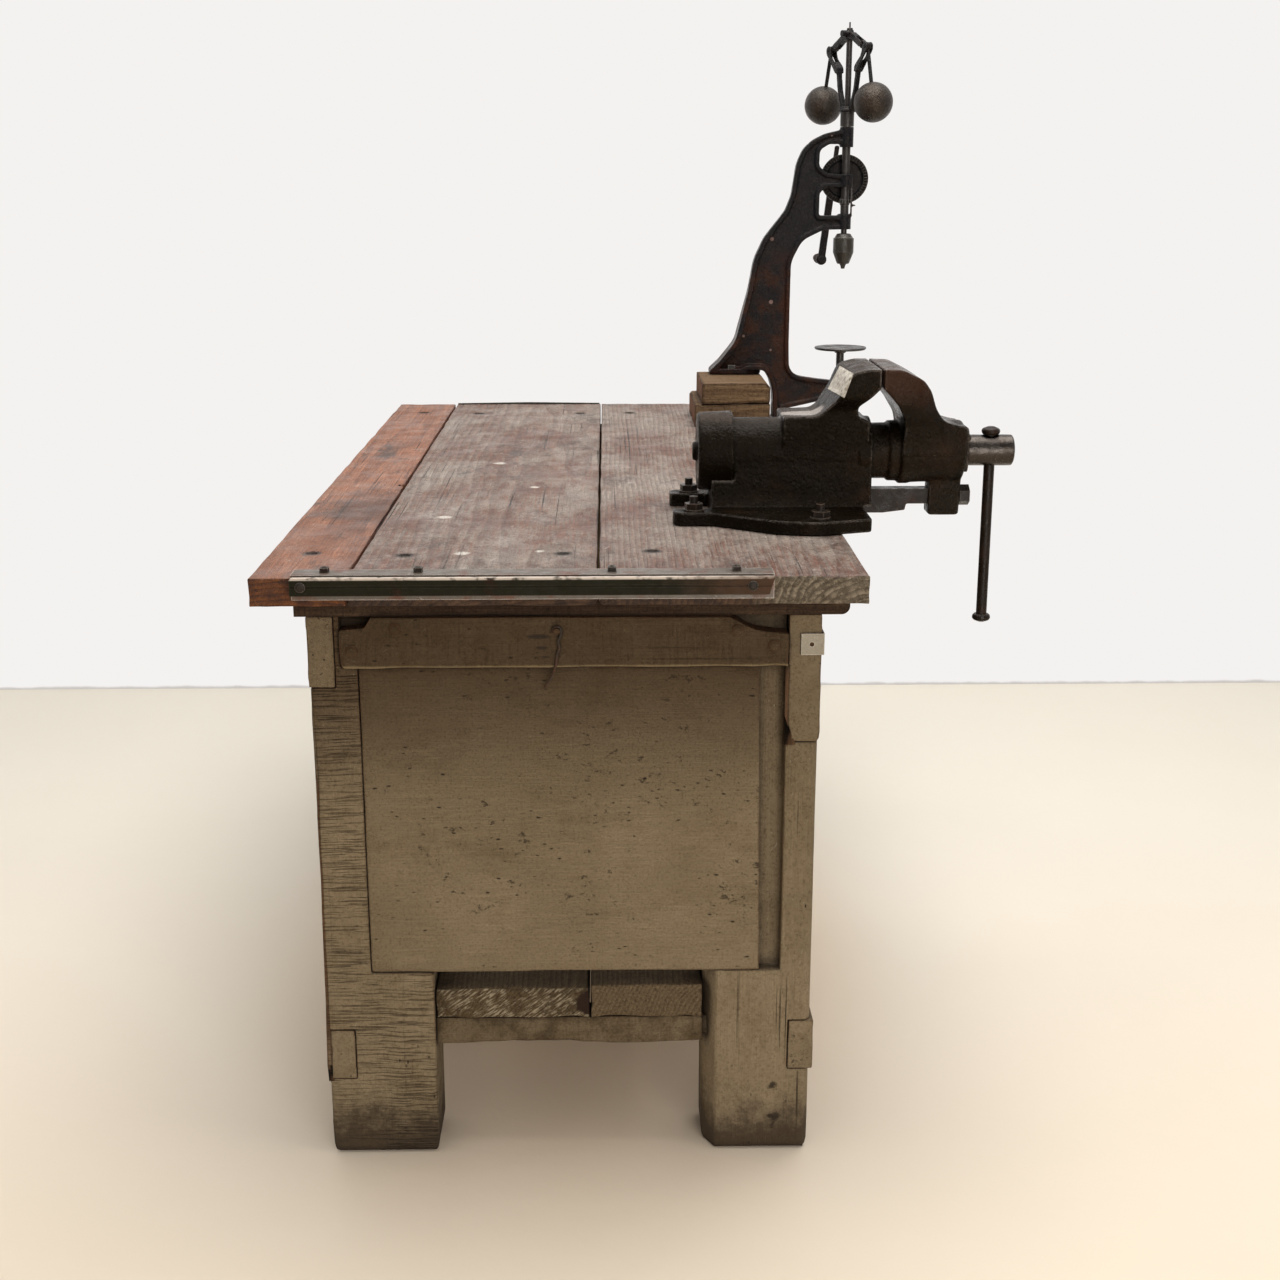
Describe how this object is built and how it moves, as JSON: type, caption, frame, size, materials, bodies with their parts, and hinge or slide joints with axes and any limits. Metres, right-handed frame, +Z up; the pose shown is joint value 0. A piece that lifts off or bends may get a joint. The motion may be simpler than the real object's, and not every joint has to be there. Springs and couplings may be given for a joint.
{
  "type": "workbench",
  "caption": "Old wooden workbench with a cast-iron parallel vise on one corner and a hand-cranked fly-ball bench drill on the other.",
  "frame": {"origin": "on the floor, under the middle of the whole piece from the left edge of the top to the vise screw head and from the clamping bar to the crank handle", "axes": "+Z up, +Y along the bench towards the end with the drill, +X towards the vise handle"},
  "size_m": [1.0592, 1.814, 1.633],
  "materials": {
    "stained_top": "worn red-brown stain, rubbed grey on the middle plank",
    "base_paint": "worn olive-grey paint over sawn wood",
    "shelf_wood": "bare dusty boards",
    "packing_wood": "bare orange-brown blocks",
    "old_steel": "dull steel with rust",
    "vise_iron": "rough brown-black casting with bright worn edges",
    "dark_steel": "oiled dark steel",
    "drill_japan": "black japan worn to rust-brown",
    "worn_steel": "worn grey steel",
    "chuck_brass": "dull olive brass with greyed knurling",
    "turned_wood": "dark turned wood"
  },
  "bodies": {
    "bench": {"top_plank_left": "stained_top", "top_plank_middle": "stained_top", "top_plank_right": "stained_top", "bearer_near": "stained_top", "bearer_far": "stained_top", "plank_screws": "old_steel", "edge_angle": "old_steel", "clamp_bar": "old_steel", "bar_bolts": "old_steel", "far_edge_strip": "old_steel", "leg_near_left": "base_paint", "leg_near_right": "base_paint", "leg_far_left": "base_paint", "leg_far_right": "base_paint", "end_apron_near": "base_paint", "end_apron_far": "base_paint", "front_apron": "base_paint", "back_apron": "base_paint", "end_panel_near": "base_paint", "end_panel_far": "base_paint", "lower_rail_near": "base_paint", "lower_rail_far": "base_paint", "side_stretcher_front": "base_paint", "side_stretcher_back": "base_paint", "shelf_board_left": "shelf_wood", "shelf_board_right": "shelf_wood", "end_fasteners": "old_steel", "corner_strap": "old_steel", "wire_hook": "old_steel", "packing_block_lower": "packing_wood", "packing_block_upper": "packing_wood", "vise_body": "vise_iron", "vise_end_cap": "vise_iron", "vise_nut": "vise_iron", "vise_bolts": "dark_steel", "drill_frame": "drill_japan", "drill_bolts": "worn_steel", "gear_stud": "worn_steel"},
    "jaw": {"moving_jaw": "vise_iron", "guide_bar": "dark_steel", "jaw_fasteners": "dark_steel", "retaining_plate": "vise_iron"},
    "screw": {"vise_screw": "dark_steel"},
    "handle": {"handle_bar": "dark_steel"},
    "table": {"drill_table": "worn_steel"},
    "table_clamp": {"table_screw": "worn_steel"},
    "crank": {"bevel_gear": "drill_japan", "crank_arm": "drill_japan"},
    "crank_grip": {"crank_handle": "turned_wood"},
    "sleeve": {"spindle_sleeve": "worn_steel", "ball_carrier": "drill_japan"},
    "lever_left": {"ball_lever_left": "drill_japan", "fly_ball_left": "drill_japan"},
    "lever_right": {"ball_lever_right": "drill_japan", "fly_ball_right": "drill_japan"},
    "spindle": {"spindle": "worn_steel", "crosshead": "drill_japan", "chuck_body": "worn_steel"},
    "chuck_shell": {"chuck_sleeve": "chuck_brass"},
    "chuck_grip": {"chuck_jaws": "worn_steel"}
  },
  "joints": [
    {"name": "screw_turn", "type": "hinge", "parent": "jaw", "child": "screw", "pos_m": [0.46535, -0.47275, 0.945], "axis": [1, 0, 0], "range_deg": [-198, 9000]},
    {"name": "jaw_slide", "type": "slide", "parent": "bench", "child": "jaw", "axis": [1, 0, 0], "range_m": [-0.0034, 0.151]},
    {"name": "handle_slide", "type": "slide", "parent": "screw", "child": "handle", "axis": [0, 0, 1], "range_m": [0, 0.228]},
    {"name": "spindle_turn", "type": "hinge", "parent": "bench", "child": "sleeve", "pos_m": [0.41435, 0.61075, 1.3], "axis": [0, 0, 1], "continuous": true},
    {"name": "crank_turn", "type": "hinge", "parent": "bench", "child": "crank", "pos_m": [0.41435, 0.61075, 1.331], "axis": [0, 1, 0], "continuous": true},
    {"name": "crank_grip_spin", "type": "hinge", "parent": "crank", "child": "crank_grip", "pos_m": [0.39435, 0.86075, 1.1605], "axis": [0, 1, 0], "continuous": true},
    {"name": "ball_left_swing", "type": "hinge", "parent": "sleeve", "child": "lever_left", "pos_m": [0.387, 0.67519, 1.583], "axis": [0.9205, 0.3907, 0], "range_deg": [0, 40]},
    {"name": "ball_right_swing", "type": "hinge", "parent": "sleeve", "child": "lever_right", "pos_m": [0.4417, 0.54631, 1.583], "axis": [-0.9205, -0.3907, 0], "range_deg": [0, 40]},
    {"name": "spindle_feed", "type": "slide", "parent": "sleeve", "child": "spindle", "axis": [0, 0, 1], "range_m": [-0.0128, 0.0001]},
    {"name": "chuck_sleeve_turn", "type": "hinge", "parent": "spindle", "child": "chuck_shell", "pos_m": [0.41435, 0.61075, 1.19], "axis": [0, 0, 1], "range_deg": [0, 720]},
    {"name": "chuck_jaw_slide", "type": "slide", "parent": "spindle", "child": "chuck_grip", "axis": [0, 0, 1], "range_m": [0, 0.008]},
    {"name": "table_slide", "type": "slide", "parent": "bench", "child": "table", "axis": [0, 0, 1], "range_m": [-0.04, 0.08]},
    {"name": "table_clamp_turn", "type": "hinge", "parent": "bench", "child": "table_clamp", "pos_m": [0.41435, 0.58575, 0.9025], "axis": [0, 1, 0], "range_deg": [-180, 180]}
  ],
  "couplings": [
    {"joint": "jaw_slide", "follows": "screw_turn", "m_per_rad": 0.00095493},
    {"joint": "crank_turn", "follows": "spindle_turn", "ratio": 0.25},
    {"joint": "ball_right_swing", "follows": "ball_left_swing", "ratio": 1},
    {"joint": "spindle_feed", "follows": "ball_left_swing", "m_per_rad": -0.01825},
    {"joint": "chuck_jaw_slide", "follows": "chuck_sleeve_turn", "m_per_rad": 0.000636}
  ]
}
